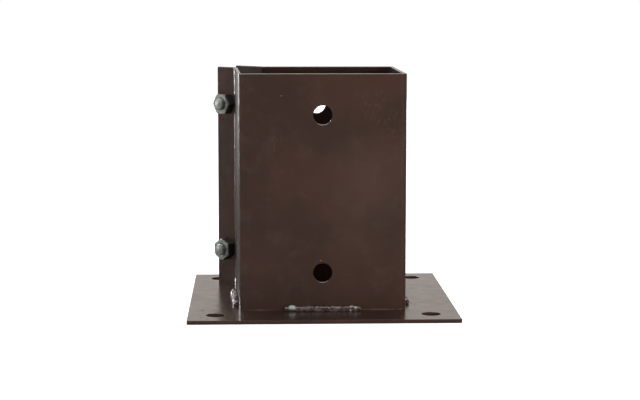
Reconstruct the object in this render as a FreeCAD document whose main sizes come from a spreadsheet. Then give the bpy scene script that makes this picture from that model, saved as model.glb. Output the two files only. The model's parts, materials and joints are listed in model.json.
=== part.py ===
"""Bolt-down base for a square timber post.

A square plate is bolted to concrete. A sleeve folded from one sheet stands on it, held by four
fillet welds. The sheet's two ends leave the sleeve's back left corner as parallel ears, and two
bolts draw the ears together round the post.

The origin is the centre of the plate's underside. +Z is up, and -Y is the face away from the ears.
"""

import FreeCAD, Part
import math
import os

import Sketcher
from FreeCAD import Placement, Rotation, Vector

# Driving dimensions, in millimetres and degrees
SIZES = [
    ("plate_border", 32, "width of the plate round the sleeve"),
    ("plate_thickness", 2.5, "thickness of the base plate"),
    ("anchor_edge", 17.5, "anchor hole axis to the plate's edges"),
    ("anchor_hole_diameter", 12, "anchor holes in the plate"),
    ("post_side", 100, "side of the square post that the sleeve takes"),
    ("post_play", 2, "room round the post, both sides together"),
    ("sleeve_height", 150, "height of the sleeve above the plate"),
    ("sleeve_wall", 2, "thickness of the sleeve's sheet"),
    ("bend_radius", 2, "inside radius of every fold"),
    ("wall_spring", 2, "angle by which the free left wall stands open"),
    ("post_hole_diameter", 12, "holes for bolts or screws into the post"),
    ("post_hole_foot", 24, "lower post hole to the foot of the sleeve"),
    ("post_hole_top", 26, "upper post hole to the top of the sleeve"),
    ("ear_gap", 20, "clear gap between the two ears"),
    ("left_ear_edge", 9.5, "clamp hole axis to the edge of the left wall's ear"),
    ("back_ear_edge", 14.5, "clamp hole axis to the edge of the back wall's ear"),
    ("clamp_hole_room", 1, "holes in the ears over the clamp bolts, in diameter"),
    ("clamp_hole_end", 25, "clamp holes to the foot and to the top of the ears"),
    ("clamp_reach", 2.7, "corner of the post's room to the axis of the clamp bolts"),
    ("bolt_diameter", 8, "clamp bolt"),
    ("bolt_end", 2.5, "length of bolt past the nut"),
    ("bolt_tip_chamfer", 0.8, "chamfer on the bolt's tip"),
    ("across_flats", 13, "hexagon of bolt head and nut"),
    ("head_height", 5.3, "height of the bolt head"),
    ("nut_height", 6.5, "height of the nut"),
    ("thread_room", 0.1, "nut bore over bolt, in diameter"),
    ("hexagon_bevel", 30, "angle of the bevel on the hexagons' corners"),
    ("upper_nut_turn", 0, "turn of the upper nut about its bolt"),
    ("lower_nut_turn", 33, "turn of the lower nut about its bolt"),
    ("weld_leg", 4, "leg of the fillet welds"),
    ("weld_crown", 0.5, "rise of the weld's face over flat"),
    ("weld_length", 46, "length of each weld"),
    ("left_weld_place", 39, "middle of the left weld behind the front fold"),
    ("right_weld_place", 43, "middle of the right weld behind the front fold"),
]

# Lengths worked out from the driving dimensions, as expressions over the sheet
ROOM = "(sizes.post_side + sizes.post_play)"
PLATE_SIDE = f"({ROOM} + 2 * sizes.sleeve_wall + 2 * sizes.plate_border)"
ANCHOR_OFFSET = f"({PLATE_SIDE} / 2 - sizes.anchor_edge)"
POST_HOLE_PITCH = "(sizes.sleeve_height - sizes.post_hole_foot - sizes.post_hole_top)"
CLAMP_PITCH = "(sizes.sleeve_height - 2 * sizes.clamp_hole_end)"
CLAMP_HOLE = "(sizes.bolt_diameter + sizes.clamp_hole_room)"
CORNER_TO_CENTRE = f"({ROOM} / sqrt(2))"
CLAMP_AXIS = f"({CORNER_TO_CENTRE} + sizes.clamp_reach)"
EAR_OUTSIDE = "(sizes.ear_gap / 2 + sizes.sleeve_wall)"
SHANK = "(sizes.ear_gap + 2 * sizes.sleeve_wall + sizes.nut_height + sizes.bolt_end)"
CORNER_RADIUS = "(sizes.across_flats / sqrt(3))"
NUT_BORE = "(sizes.bolt_diameter + sizes.thread_room)"

# The ears and the clamp bolts keep to the sleeve's diagonal
DIAGONAL = 45
# An edge this near a corner is the edge at that corner
NEAR = 0.01
# How far the cut that turns off a hexagon's corners reaches past them
PAST_CORNER = 1

doc = FreeCAD.newDocument("post_base")


def make_sheet():
    """Spreadsheet with one named size in each row."""
    sheet = doc.addObject("Spreadsheet::Sheet", "sizes")
    for row, (alias, value, note) in enumerate(SIZES, start=1):
        sheet.set(f"A{row}", alias)
        sheet.set(f"B{row}", str(value))
        sheet.setAlias(f"B{row}", alias)
        sheet.set(f"C{row}", note)
    doc.recompute()
    return sheet


sheet = make_sheet()
size = {alias: sheet.get(alias) for alias, _, _ in SIZES}
room = size["post_side"] + size["post_play"]


# Helpers for bodies, sketches and bound sizes


def new_body(label):
    body = doc.addObject("PartDesign::Body", label)
    body.Label = label
    return body


def origin_feature(body, role):
    return next(item for item in body.Origin.OriginFeatures if item.Role == role)


def new_sketch(body, name, plane, offset=None):
    sketch = body.newObject("Sketcher::SketchObject", f"{body.Label}_{name}")
    sketch.AttachmentSupport = [(origin_feature(body, plane), "")]
    sketch.MapMode = "FlatFace"
    if offset is not None:
        sketch.AttachmentOffset = offset
    return sketch


def new_feature(body, kind, name, **values):
    feature = body.newObject(f"PartDesign::{kind}", f"{body.Label}_{name}")
    for key, value in values.items():
        setattr(feature, key, value)
    return feature


def bind(target, **expressions):
    for path, expression in expressions.items():
        target.setExpression(path.replace("__", "."), expression)


def place(body, x="0", y="0", z="0"):
    """Bind a body's place to the sheet."""
    bind(body, Placement__Base__x=x, Placement__Base__y=y, Placement__Base__z=z)


def constrain(sketch, kind, *references, name=None, start=None, expression=None):
    """Add one constraint, and bind it where it carries a size."""
    values = references if start is None else references + (start,)
    index = sketch.addConstraint(Sketcher.Constraint(kind, *values))
    if expression is not None:
        sketch.renameConstraint(index, name)
        sketch.setExpression(f"Constraints.{name}", expression)
    return index


def closed_outline(sketch, corners):
    """Straight lines through the corners, joined end to start."""
    count = len(corners)
    first = sketch.GeometryCount
    for index, corner in enumerate(corners):
        following = corners[(index + 1) % count]
        sketch.addGeometry(Part.LineSegment(Vector(*corner, 0), Vector(*following, 0)), False)
    for index in range(count):
        constrain(sketch, "Coincident", first + index, 2, first + (index + 1) % count, 1)
    return [first + index for index in range(count)]


def circle(sketch, x, y, diameter, x_size=None, y_size=None, diameter_size=None):
    """Circle with its centre and diameter bound to the sheet."""
    index = sketch.addGeometry(Part.Circle(Vector(x, y, 0), Vector(0, 0, 1), diameter / 2), False)
    constrain(sketch, "Diameter", index, name="diameter", start=diameter, expression=diameter_size)
    if x_size is None:
        constrain(sketch, "Coincident", index, 3, -1, 1)
        return index
    if x_size == "0":
        constrain(sketch, "PointOnObject", index, 3, -2)
    else:
        constrain(sketch, "DistanceX", -1, 1, index, 3, name="across", start=x, expression=x_size)
    constrain(sketch, "DistanceY", -1, 1, index, 3, name="up", start=y, expression=y_size)
    return index


def cut_volume(feature):
    """Volume that a cutting feature takes off its base."""
    return feature.BaseFeature.Shape.Volume - feature.Shape.Volume


# Base plate


def make_base_plate():
    plate = new_body("base_plate")
    side = room + 2 * size["sleeve_wall"] + 2 * size["plate_border"]
    half = side / 2

    outline = new_sketch(plate, "outline", "XY_Plane")
    corners = [(-half, -half), (half, -half), (half, half), (-half, half)]
    front, right, back, left = closed_outline(outline, corners)
    for edge in (front, back):
        constrain(outline, "Horizontal", edge)
    for edge in (right, left):
        constrain(outline, "Vertical", edge)
    constrain(outline, "Symmetric", front, 1, back, 1, -1, 1)
    constrain(outline, "DistanceX", front, 1, front, 2, name="wide", start=side, expression=PLATE_SIDE)
    constrain(outline, "DistanceY", right, 1, right, 2, name="deep", start=side, expression=PLATE_SIDE)
    sheet_pad = new_feature(plate, "Pad", "sheet", Profile=outline)
    bind(sheet_pad, Length="sizes.plate_thickness")

    anchor = new_sketch(plate, "anchor_circle", "XY_Plane")
    offset = half - size["anchor_edge"]
    circle(anchor, offset, offset, size["anchor_hole_diameter"],
           ANCHOR_OFFSET, ANCHOR_OFFSET, "sizes.anchor_hole_diameter")
    hole = new_feature(plate, "Pocket", "anchor_hole", Profile=anchor, Type="ThroughAll", Reversed=True)
    doc.recompute()
    assert cut_volume(hole) > 0, "the anchor hole cuts nothing"

    ring = new_feature(plate, "PolarPattern", "anchor_holes", Originals=[hole],
                       Axis=(origin_feature(plate, "Z_Axis"), [""]), Angle=360, Occurrences=4)
    plate.Tip = ring
    return plate


# Post sleeve


def inner_corners():
    """Corners of the sheet's inner face, from the left ear's edge round to the back ear's."""
    half = room / 2
    slope = math.tan(math.radians(size["wall_spring"]))
    gap = size["ear_gap"] / math.sqrt(2)
    left_wall = (room - gap) / (1 + slope)
    axis = room / math.sqrt(2) + size["clamp_reach"]
    return [
        on_diagonal(axis + size["left_ear_edge"], -size["ear_gap"] / 2),
        Vector(-half - left_wall * slope, -half + left_wall),
        Vector(-half, -half),
        Vector(half, -half),
        Vector(half, half),
        Vector(gap - half, half),
        on_diagonal(axis + size["back_ear_edge"], size["ear_gap"] / 2),
    ]


def on_diagonal(outward, across):
    """Point by its distance out towards the ears and its distance to the back of the diagonal."""
    return Vector((across - outward) / math.sqrt(2), (across + outward) / math.sqrt(2))


def outer_corners(inner):
    """Corners of the sheet's outer face, one wall to the right of the inner ones."""
    wall = size["sleeve_wall"]
    steps = [(after - before).normalize() for before, after in zip(inner, inner[1:])]
    steps = [steps[0]] + steps + [steps[-1]]
    corners = []
    for corner, coming, going in zip(inner, steps, steps[1:]):
        across = Vector(coming.y + going.y, -coming.x - going.x)
        corners.append(corner + across * (wall / (1 + coming.dot(going))))
    return corners


def sheet_section(sleeve):
    """Section of the folded sheet, every fold still sharp."""
    section = new_sketch(sleeve, "section", "XY_Plane")
    inner = inner_corners()
    outer = outer_corners(inner)
    lines = closed_outline(section, [(corner.x, corner.y) for corner in inner + outer[::-1]])
    left_ear, left, front, right, back, back_ear, back_edge = lines[:7]
    left_edge = lines[-1]
    origin = (-1, 1)

    for inside, outside in zip((left_ear, left, front, right, back, back_ear), lines[12:6:-1]):
        constrain(section, "Parallel", inside, outside)
        constrain(section, "Distance", outside, 1, inside, name=f"wall_{inside}",
                  start=size["sleeve_wall"], expression="sizes.sleeve_wall")
    constrain(section, "Horizontal", front)
    constrain(section, "Vertical", right)
    constrain(section, "Horizontal", back)
    constrain(section, "Angle", front, 1, left, 2, name="spring",
              start=math.radians(90 + size["wall_spring"]), expression="90 + sizes.wall_spring")
    constrain(section, "DistanceX", front, 1, front, 2, name="wide", start=room, expression=ROOM)
    constrain(section, "DistanceY", right, 1, right, 2, name="deep", start=room, expression=ROOM)
    constrain(section, "DistanceX", *origin, front, 2, name="right", start=room / 2, expression=f"{ROOM} / 2")
    constrain(section, "DistanceY", front, 2, *origin, name="front", start=room / 2, expression=f"{ROOM} / 2")

    constrain(section, "Angle", back_ear, name="ear_turn", start=math.radians(180 - DIAGONAL),
              expression=f"180 - {DIAGONAL}")
    constrain(section, "Parallel", left_ear, back_ear)
    axis = room / math.sqrt(2) + size["clamp_reach"]
    for name, ear, edge in (("left", left_ear, left_edge), ("back", back_ear, back_edge)):
        constrain(section, "Perpendicular", ear, edge)
        constrain(section, "Distance", *origin, ear, name=f"{name}_ear_side",
                  start=size["ear_gap"] / 2, expression="sizes.ear_gap / 2")
        constrain(section, "Distance", *origin, edge, name=f"{name}_ear_edge",
                  start=axis + size[f"{name}_ear_edge"], expression=f"{CLAMP_AXIS} + sizes.{name}_ear_edge")
    return section, inner, outer


def upright_edges(shape, corners):
    """Names of the upright edges that stand over the given corners."""
    names = []
    for number, edge in enumerate(shape.Edges, start=1):
        box = edge.BoundBox
        upright = box.ZLength > max(box.XLength, box.YLength)
        if upright and any(math.dist((box.Center.x, box.Center.y), (corner.x, corner.y)) < NEAR for corner in corners):
            names.append(f"Edge{number}")
    return names


def make_sleeve():
    sleeve = new_body("post_sleeve")
    place(sleeve, z="sizes.plate_thickness")

    section, inner, outer = sheet_section(sleeve)
    sheet_pad = new_feature(sleeve, "Pad", "sheet", Profile=section)
    bind(sheet_pad, Length="sizes.sleeve_height")
    doc.recompute()

    # A fold is tight on its inside, which is the sleeve's outer face where an ear leaves
    tight = inner[2:5] + [outer[1], outer[5]]
    wide = outer[2:5] + [inner[1], inner[5]]
    tight_side = new_feature(sleeve, "Fillet", "folds_inside",
                             Base=(sheet_pad, upright_edges(sheet_pad.Shape, tight)))
    bind(tight_side, Radius="sizes.bend_radius")
    doc.recompute()
    wide_side = new_feature(sleeve, "Fillet", "folds_outside",
                            Base=(tight_side, upright_edges(tight_side.Shape, wide)))
    bind(wide_side, Radius="sizes.bend_radius + sizes.sleeve_wall")
    doc.recompute()

    cut_clamp_holes(sleeve)
    cut_post_holes(sleeve)
    return sleeve


def cut_clamp_holes(sleeve):
    """Clamp bolt holes through both ears, one above the other."""
    turn = Placement(Vector(), Rotation(Vector(0, 1, 0), -DIAGONAL))
    spot = new_sketch(sleeve, "clamp_circle", "XZ_Plane", turn)
    axis = room / math.sqrt(2) + size["clamp_reach"]
    circle(spot, -axis, size["clamp_hole_end"], size["bolt_diameter"] + size["clamp_hole_room"],
           f"-{CLAMP_AXIS}", "sizes.clamp_hole_end", CLAMP_HOLE)
    hole = new_feature(sleeve, "Pocket", "clamp_hole", Profile=spot, Type="ThroughAll", Midplane=True)
    pair = new_feature(sleeve, "LinearPattern", "clamp_holes", Originals=[hole],
                       Direction=(origin_feature(sleeve, "Z_Axis"), [""]), Occurrences=2)
    bind(pair, Length=CLAMP_PITCH)
    sleeve.Tip = pair
    doc.recompute()
    assert cut_volume(hole) > 0, "the clamp hole cuts nothing"


def cut_post_holes(sleeve):
    """Post bolt holes through the front and back walls, one above the other."""
    spot = new_sketch(sleeve, "post_circle", "XZ_Plane")
    circle(spot, 0, size["post_hole_foot"], size["post_hole_diameter"],
           "0", "sizes.post_hole_foot", "sizes.post_hole_diameter")
    hole = new_feature(sleeve, "Pocket", "post_hole", Profile=spot, Type="ThroughAll", Midplane=True)
    pair = new_feature(sleeve, "LinearPattern", "post_holes", Originals=[hole],
                       Direction=(origin_feature(sleeve, "Z_Axis"), [""]), Occurrences=2)
    bind(pair, Length=POST_HOLE_PITCH)
    sleeve.Tip = pair
    doc.recompute()
    assert cut_volume(hole) > 0, "the post hole cuts nothing"


# Fillet welds between sleeve and plate


def weld_section(weld, name, offset=None):
    """Section of a fillet weld: two legs and a slightly crowned face."""
    sketch = new_sketch(weld, name, "YZ_Plane", offset)
    leg = size["weld_leg"]
    crown = size["weld_crown"]
    radius = (leg ** 2 / 2 + crown ** 2) / (2 * crown)
    centre = leg / 2 - (radius - crown) / math.sqrt(2)
    start = math.atan2(-centre, leg - centre)
    end = math.atan2(leg - centre, -centre)
    foot = sketch.addGeometry(Part.LineSegment(Vector(0, 0, 0), Vector(leg, 0, 0)), False)
    back = sketch.addGeometry(Part.LineSegment(Vector(0, leg, 0), Vector(0, 0, 0)), False)
    round_face = Part.Circle(Vector(centre, centre, 0), Vector(0, 0, 1), radius)
    face = sketch.addGeometry(Part.ArcOfCircle(round_face, start, end), False)
    constrain(sketch, "Coincident", foot, 1, -1, 1)
    constrain(sketch, "Coincident", back, 2, -1, 1)
    constrain(sketch, "Coincident", foot, 2, face, 1)
    constrain(sketch, "Coincident", back, 1, face, 2)
    constrain(sketch, "Horizontal", foot)
    constrain(sketch, "Vertical", back)
    constrain(sketch, "DistanceX", foot, 1, foot, 2, name="foot", start=leg, expression="sizes.weld_leg")
    constrain(sketch, "DistanceY", back, 2, back, 1, name="rise", start=leg, expression="sizes.weld_leg")
    constrain(sketch, "Radius", face, name="crown", start=radius,
              expression="(sizes.weld_leg ^ 2 / 2 + sizes.weld_crown ^ 2) / (2 * sizes.weld_crown)")
    return sketch


def make_weld(label, turn, x, y):
    """One weld along its own X axis, with its back to the wall and a rounded end each side."""
    weld = new_body(label)
    weld.Placement = Placement(Vector(), Rotation(Vector(0, 0, 1), 0))
    bind(weld, Placement__Rotation__Angle=turn)
    place(weld, x, y, "sizes.plate_thickness")

    run = new_feature(weld, "Pad", "run", Profile=weld_section(weld, "section"), Midplane=True)
    bind(run, Length="sizes.weld_length - 2 * sizes.weld_leg")

    end_section = weld_section(weld, "end_section")
    bind(end_section, AttachmentOffset__Base__z="sizes.weld_length / 2 - sizes.weld_leg")
    end = new_feature(weld, "Revolution", "end", Profile=end_section,
                      ReferenceAxis=(end_section, ["V_Axis"]), Angle=90, Reversed=True)
    ends = new_feature(weld, "Mirrored", "ends", Originals=[end],
                       MirrorPlane=(origin_feature(weld, "YZ_Plane"), [""]))
    weld.Tip = ends
    return weld


def make_welds():
    outside = f"({ROOM} / 2 + sizes.sleeve_wall)"
    lean = "sizes.wall_spring"
    along = "(sizes.left_weld_place - sizes.sleeve_wall)"
    left_x = f"-{ROOM} / 2 - {along} * sin({lean}) - sizes.sleeve_wall * cos({lean})"
    left_y = f"-{ROOM} / 2 + {along} * cos({lean}) - sizes.sleeve_wall * sin({lean})"
    return [
        make_weld("weld_front", "180", "0", f"-{outside}"),
        make_weld("weld_left", f"90 + {lean}", left_x, left_y),
        make_weld("weld_right", "-90", outside, f"-{outside} + sizes.right_weld_place"),
        make_weld("weld_back", "0", "0", outside),
    ]


# Clamp bolts and nuts


def hexagon(sketch):
    """Regular hexagon with two flats level, its size from the width across flats."""
    radius = size["across_flats"] / math.sqrt(3)
    corners = [(radius * math.cos(math.radians(60 * step)), radius * math.sin(math.radians(60 * step)))
               for step in range(6)]
    edges = closed_outline(sketch, corners)
    ring = sketch.addGeometry(Part.Circle(Vector(), Vector(0, 0, 1), radius), True)
    constrain(sketch, "Coincident", ring, 3, -1, 1)
    for edge in edges:
        constrain(sketch, "PointOnObject", edge, 1, ring)
    for edge in edges[1:]:
        constrain(sketch, "Equal", edges[0], edge)
    constrain(sketch, "Horizontal", edges[1])
    constrain(sketch, "Radius", ring, name="corner", start=radius, expression=CORNER_RADIUS)


def bevel_corners(body, name, level, level_size, side):
    """Turn off a hexagon's corners at one face, side +1 for the face on the +Z side."""
    flat = size["across_flats"] / 2
    reach = size["across_flats"] / math.sqrt(3) + PAST_CORNER
    drop = (reach - flat) * math.tan(math.radians(size["hexagon_bevel"]))
    sketch = new_sketch(body, name, "XZ_Plane")
    rim, outside, slope = closed_outline(sketch, [(flat, level), (reach, level), (reach, level - side * drop)])
    constrain(sketch, "Horizontal", rim)
    constrain(sketch, "Vertical", outside)
    constrain(sketch, "DistanceX", -1, 1, rim, 1, name="flat", start=flat, expression="sizes.across_flats / 2")
    constrain(sketch, "DistanceX", -1, 1, rim, 2, name="reach", start=reach,
              expression=f"{CORNER_RADIUS} + {PAST_CORNER}")
    if level_size is None:
        constrain(sketch, "PointOnObject", rim, 1, -1)
    else:
        constrain(sketch, "DistanceY", -1, 1, rim, 1, name="level", start=level, expression=level_size)
    drop_size = f"({CORNER_RADIUS} + {PAST_CORNER} - sizes.across_flats / 2) * tan(sizes.hexagon_bevel)"
    ends = (outside, 2, outside, 1) if side > 0 else (outside, 1, outside, 2)
    constrain(sketch, "DistanceY", *ends, name="drop", start=drop, expression=drop_size)
    groove = new_feature(body, "Groove", f"{name}_turned", Profile=sketch,
                         ReferenceAxis=(sketch, ["V_Axis"]), Angle=360)
    doc.recompute()
    assert cut_volume(groove) > 0, "the bevel cuts nothing"
    return groove


def round_edges(shape, radius, level):
    """Names of the circular edges of this radius at this height in the body's own frame."""
    names = []
    for number, edge in enumerate(shape.Edges, start=1):
        if edge.Curve.TypeId != "Part::GeomCircle":
            continue
        if abs(edge.Curve.Radius - radius) < NEAR and abs(edge.Curve.Center.z - level) < NEAR:
            names.append(f"Edge{number}")
    return names


def aim_along_clamp(body, seat, height):
    """Put a body's own Z axis along a clamp bolt, from the back ear to the left one."""
    axes = (Vector(1, -1, 0), Vector(0, 0, 1), Vector(-1, -1, 0))
    body.Placement = Placement(Vector(), Rotation(*[axis.normalize() for axis in axes], "ZXY"))
    place(body, f"({seat} - {CLAMP_AXIS}) / sqrt(2)", f"({seat} + {CLAMP_AXIS}) / sqrt(2)", height)


def make_bolt(label, height):
    """Hexagon bolt: the seat of its head is at its own origin."""
    bolt = new_body(label)
    aim_along_clamp(bolt, EAR_OUTSIDE, height)

    head_section = new_sketch(bolt, "head_section", "XY_Plane")
    hexagon(head_section)
    head = new_feature(bolt, "Pad", "head", Profile=head_section, Reversed=True)
    bind(head, Length="sizes.head_height")
    bevel_corners(bolt, "head_bevel", -size["head_height"], "-sizes.head_height", -1)

    shank_section = new_sketch(bolt, "shank_section", "XY_Plane")
    circle(shank_section, 0, 0, size["bolt_diameter"], diameter_size="sizes.bolt_diameter")
    shank = new_feature(bolt, "Pad", "shank", Profile=shank_section)
    bind(shank, Length=SHANK)
    doc.recompute()
    length = shank.Shape.BoundBox.ZMax
    tip = new_feature(bolt, "Chamfer", "tip",
                      Base=(shank, round_edges(shank.Shape, size["bolt_diameter"] / 2, length)))
    bind(tip, Size="sizes.bolt_tip_chamfer")
    return bolt


def make_nut(label, height, turn):
    """Hexagon nut: its seat on the left ear is at its own origin."""
    nut = new_body(label)
    aim_along_clamp(nut, f"(-{EAR_OUTSIDE})", height)

    section = new_sketch(nut, "section", "XY_Plane")
    hexagon(section)
    bind(section, AttachmentOffset__Rotation__Angle=turn)
    block = new_feature(nut, "Pad", "block", Profile=section)
    bind(block, Length="sizes.nut_height")
    bevel_corners(nut, "seat_bevel", 0, None, -1)
    bevel_corners(nut, "face_bevel", size["nut_height"], "sizes.nut_height", 1)

    bore_section = new_sketch(nut, "bore_section", "XY_Plane")
    bore_diameter = size["bolt_diameter"] + size["thread_room"]
    circle(bore_section, 0, 0, bore_diameter, diameter_size=NUT_BORE)
    bore = new_feature(nut, "Pocket", "bore", Profile=bore_section, Type="ThroughAll", Reversed=True)
    doc.recompute()
    assert cut_volume(bore) > 0, "the nut's bore cuts nothing"
    edges = [name for level in (0, size["nut_height"])
             for name in round_edges(bore.Shape, bore_diameter / 2, level)]
    mouths = new_feature(nut, "Chamfer", "bore_mouths", Base=(bore, edges))
    bind(mouths, Size="sizes.bolt_tip_chamfer / 2")
    return nut


def make_clamp():
    """Both clamp bolts with their nuts."""
    lower = "sizes.plate_thickness + sizes.clamp_hole_end"
    upper = f"{lower} + {CLAMP_PITCH}"
    fasteners = []
    for place_name, height in (("upper", upper), ("lower", lower)):
        fasteners.append(make_bolt(f"clamp_bolt_{place_name}", height))
        fasteners.append(make_nut(f"clamp_nut_{place_name}", height, f"sizes.{place_name}_nut_turn"))
    return fasteners


# Whole part


def check(bodies):
    for item in doc.Objects:
        if "Invalid" in item.State or "Error" in item.State:
            raise RuntimeError(f"{item.Label} did not build: {item.State}")
    for body in bodies:
        shape = body.Shape
        if shape.isNull() or not shape.isValid() or len(shape.Solids) != 1:
            raise RuntimeError(f"{body.Label} isn't one sound solid")


bodies = [make_base_plate(), make_sleeve()] + make_welds() + make_clamp()
doc.recompute()
check(bodies)

os.makedirs("parts", exist_ok=True)
for body in bodies:
    body.Shape.exportStep(f"parts/{body.Label}.step")
    box = body.Shape.BoundBox
    print(f"{body.Label}: {body.Shape.Volume:.1f} mm3, x {box.XMin:.2f} to {box.XMax:.2f}, "
          f"y {box.YMin:.2f} to {box.YMax:.2f}, z {box.ZMin:.2f} to {box.ZMax:.2f}")
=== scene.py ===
"""Bolt-down base for a square timber post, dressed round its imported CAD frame.

The sleeve is folded from one sheet, welded to a square plate. Two bolts draw the sheet's ears
together. Lengths are in metres: the origin is the middle of the plate's underside, +Z is up and
-Y is the front.
"""

import json
import math
import random

import bmesh
import bpy
from bpy.props import FloatProperty, FloatVectorProperty, IntProperty, PointerProperty
from mathutils import Matrix, Vector, noise

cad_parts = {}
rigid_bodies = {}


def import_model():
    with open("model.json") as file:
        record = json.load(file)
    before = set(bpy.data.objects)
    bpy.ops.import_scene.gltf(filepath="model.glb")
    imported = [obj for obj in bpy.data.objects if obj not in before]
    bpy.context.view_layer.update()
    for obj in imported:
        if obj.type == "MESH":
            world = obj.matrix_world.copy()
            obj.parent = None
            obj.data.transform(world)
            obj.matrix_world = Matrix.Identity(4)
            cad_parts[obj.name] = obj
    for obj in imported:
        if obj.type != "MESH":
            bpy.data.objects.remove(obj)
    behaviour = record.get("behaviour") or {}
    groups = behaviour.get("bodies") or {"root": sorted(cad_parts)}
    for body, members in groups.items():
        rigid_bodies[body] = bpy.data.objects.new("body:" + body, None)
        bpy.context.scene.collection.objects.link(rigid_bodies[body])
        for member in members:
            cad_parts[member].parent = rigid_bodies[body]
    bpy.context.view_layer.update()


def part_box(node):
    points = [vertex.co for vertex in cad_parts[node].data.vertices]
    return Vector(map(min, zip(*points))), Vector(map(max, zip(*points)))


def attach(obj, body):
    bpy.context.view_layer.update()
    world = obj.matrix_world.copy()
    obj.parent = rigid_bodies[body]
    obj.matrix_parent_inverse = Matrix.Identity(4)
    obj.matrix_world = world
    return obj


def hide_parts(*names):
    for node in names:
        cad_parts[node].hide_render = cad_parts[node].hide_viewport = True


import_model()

bl_info = {
    "name": "Timber post base",
    "version": (1, 0, 0),
    "blender": (4, 5, 0),
    "location": "View3D > Sidebar > Post base",
    "description": "Builds a bolt-down base for a square timber post, with its stage",
    "category": "Object",
}

BODY = "root"

MM = 0.001
ROUND = 48          # sides of a hole or a rod
TURNED = 96         # sides of the blank that a hexagon or a bolt's end is turned from
FOLD_STEPS = 8      # strips in each fold of the sheet
NEAR = 0.02 * MM    # an edge this near a corner stands at that corner
TIGHT = 0.001 * MM  # points nearer than this are the same point
SHARP = 40          # an edge that turns more than this many degrees stays sharp
CUT_EDGE = 50       # an edge that turns more than this many degrees is a cut, not a strip of a fold
METAL_EDGE = 24     # the same, on bolts and nuts
SAME_AREA = 2e-5    # faces whose areas differ by less, in square metres, are shaded as equals
UP = Vector((0, 0, 1))


def length(name, description, default):
    return FloatProperty(name=name, description=description, default=default, min=0,
                         subtype="DISTANCE", unit="LENGTH", precision=5)


def angle(name, description, degrees):
    return FloatProperty(name=name, description=description, default=math.radians(degrees),
                         subtype="ANGLE")


def seen_colour(red, green, blue):
    """Colour as a screen shows it, 0 to 255, turned into light values."""
    return tuple((part / 255 / 12.92) if part <= 10 else ((part / 255 + 0.055) / 1.055) ** 2.4
                 for part in (red, green, blue))


def colour(name, description, red, green, blue):
    return FloatVectorProperty(name=name, description=description, subtype="COLOR", size=3,
                               default=seen_colour(red, green, blue), min=0, max=1)


class PostBaseSizes(bpy.types.PropertyGroup):
    """Sizes of the part that a user would change"""
    plate_border: length("Plate border", "Width of the plate round the sleeve", 32 * MM)
    plate_thickness: length("Plate thickness", "Thickness of the base plate", 2.5 * MM)
    anchor_edge: length("Anchor edge", "Anchor hole axis to the plate's edges", 17.5 * MM)
    anchor_hole: length("Anchor hole", "Diameter of the anchor holes", 12 * MM)
    post_side: length("Post side", "Side of the square post", 100 * MM)
    post_play: length("Post play", "Room round the post, both sides together", 2 * MM)
    sleeve_height: length("Sleeve height", "Height of the sleeve above the plate", 150 * MM)
    sleeve_wall: length("Sleeve wall", "Thickness of the sleeve's sheet", 2 * MM)
    bend_radius: length("Bend radius", "Inside radius of every fold", 2 * MM)
    wall_spring: angle("Wall spring", "Angle by which the free left wall stands open", 2)
    post_hole: length("Post hole", "Diameter of the holes into the post", 12 * MM)
    post_hole_foot: length("Post hole foot", "Lower post hole to the sleeve's foot", 24 * MM)
    post_hole_top: length("Post hole top", "Upper post hole to the sleeve's top", 26 * MM)
    ear_gap: length("Ear gap", "Clear gap between the two ears", 20 * MM)
    left_ear_edge: length("Left ear edge", "Clamp hole axis to the left ear's edge", 9.5 * MM)
    back_ear_edge: length("Back ear edge", "Clamp hole axis to the back ear's edge", 14.5 * MM)
    clamp_hole: length("Clamp hole", "Diameter of the holes in the ears", 9 * MM)
    clamp_hole_end: length("Clamp hole end", "Clamp holes to the ends of the ears", 25 * MM)
    clamp_reach: length("Clamp reach", "Corner of the post's room to the clamp bolts", 2.7 * MM)
    bolt_diameter: length("Bolt diameter", "Diameter over the bolt's thread", 8 * MM)
    thread_pitch: length("Thread pitch", "Pitch of the bolt's thread", 1.25 * MM)
    bolt_end: length("Bolt end", "Length of bolt past the nut", 2.5 * MM)
    across_flats: length("Across flats", "Width of bolt heads and nuts", 13 * MM)
    head_height: length("Head height", "Height of the bolt heads", 5.3 * MM)
    nut_height: length("Nut height", "Height of the nuts", 6.5 * MM)
    upper_nut_turn: angle("Upper nut turn", "Turn of the upper nut about its bolt", 0)
    lower_nut_turn: angle("Lower nut turn", "Turn of the lower nut about its bolt", 33)
    sleeve_arris: length("Sleeve arris", "Rounding of the sleeve's cut edges", 0.8 * MM)
    plate_arris: length("Plate arris", "Rounding of the plate's edges", 0.45 * MM)
    weld_leg: length("Weld leg", "Leg of the fillet welds", 4 * MM)
    weld_length: length("Weld length", "Length of each weld", 46 * MM)
    weld_seed: IntProperty(name="Weld seed", description="Pattern of the welds' ripples",
                           default=7, min=0)


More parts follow.
